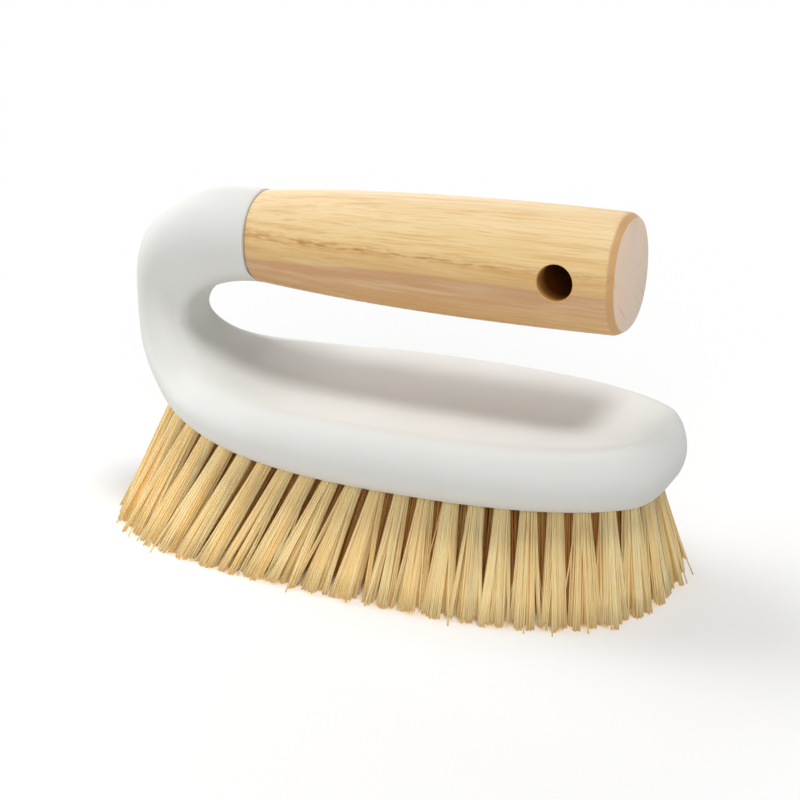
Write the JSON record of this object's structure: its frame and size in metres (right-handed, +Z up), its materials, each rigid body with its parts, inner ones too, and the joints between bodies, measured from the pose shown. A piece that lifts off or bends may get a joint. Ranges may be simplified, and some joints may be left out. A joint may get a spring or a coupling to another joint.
{
  "type": "hand scrubbing brush",
  "caption": "Hand scrubbing brush with an oval bristle block, a neck that curls back over it and a round wooden handle with a hanging hole.",
  "frame": {"origin": "centre of the brush's box, in the plane of the bristle tips that it stands on", "axes": "+X along the brush from the neck to the free end, +Z up from the tips to the handle"},
  "size_m": [0.1584, 0.0824, 0.0968],
  "materials": {
    "white_plastic": "moulded, fine satin",
    "bamboo": "laminated, sanded, clear satin coat",
    "natural_fibre": "stiff untreated plant fibre, trimmed flat"
  },
  "bodies": {
    "root": {"bamboo_handle": "bamboo", "brush_body": "white_plastic", "tuft_outer_01": "natural_fibre", "tuft_outer_02": "natural_fibre", "tuft_outer_03": "natural_fibre", "tuft_outer_04": "natural_fibre", "tuft_outer_05": "natural_fibre", "tuft_outer_06": "natural_fibre", "tuft_outer_07": "natural_fibre", "tuft_outer_08": "natural_fibre", "tuft_outer_09": "natural_fibre", "tuft_outer_10": "natural_fibre", "tuft_outer_11": "natural_fibre", "tuft_outer_12": "natural_fibre", "tuft_outer_13": "natural_fibre", "tuft_outer_14": "natural_fibre", "tuft_outer_15": "natural_fibre", "tuft_outer_16": "natural_fibre", "tuft_outer_17": "natural_fibre", "tuft_outer_18": "natural_fibre", "tuft_outer_19": "natural_fibre", "tuft_outer_20": "natural_fibre", "tuft_outer_21": "natural_fibre", "tuft_outer_22": "natural_fibre", "tuft_outer_23": "natural_fibre", "tuft_outer_24": "natural_fibre", "tuft_outer_25": "natural_fibre", "tuft_outer_26": "natural_fibre", "tuft_outer_27": "natural_fibre", "tuft_outer_28": "natural_fibre", "tuft_outer_29": "natural_fibre", "tuft_outer_30": "natural_fibre", "tuft_outer_31": "natural_fibre", "tuft_outer_32": "natural_fibre", "tuft_outer_33": "natural_fibre", "tuft_outer_34": "natural_fibre", "tuft_outer_35": "natural_fibre", "tuft_outer_36": "natural_fibre", "tuft_outer_37": "natural_fibre", "tuft_outer_38": "natural_fibre", "tuft_outer_39": "natural_fibre", "tuft_outer_40": "natural_fibre", "tuft_outer_41": "natural_fibre", "tuft_outer_42": "natural_fibre", "tuft_outer_43": "natural_fibre", "tuft_outer_44": "natural_fibre", "tuft_outer_45": "natural_fibre", "tuft_outer_46": "natural_fibre", "tuft_outer_47": "natural_fibre", "tuft_outer_48": "natural_fibre", "tuft_ring_inner_1": "natural_fibre", "tuft_ring_inner_2": "natural_fibre", "tuft_ring_inner_3": "natural_fibre"}
  },
  "joints": []
}
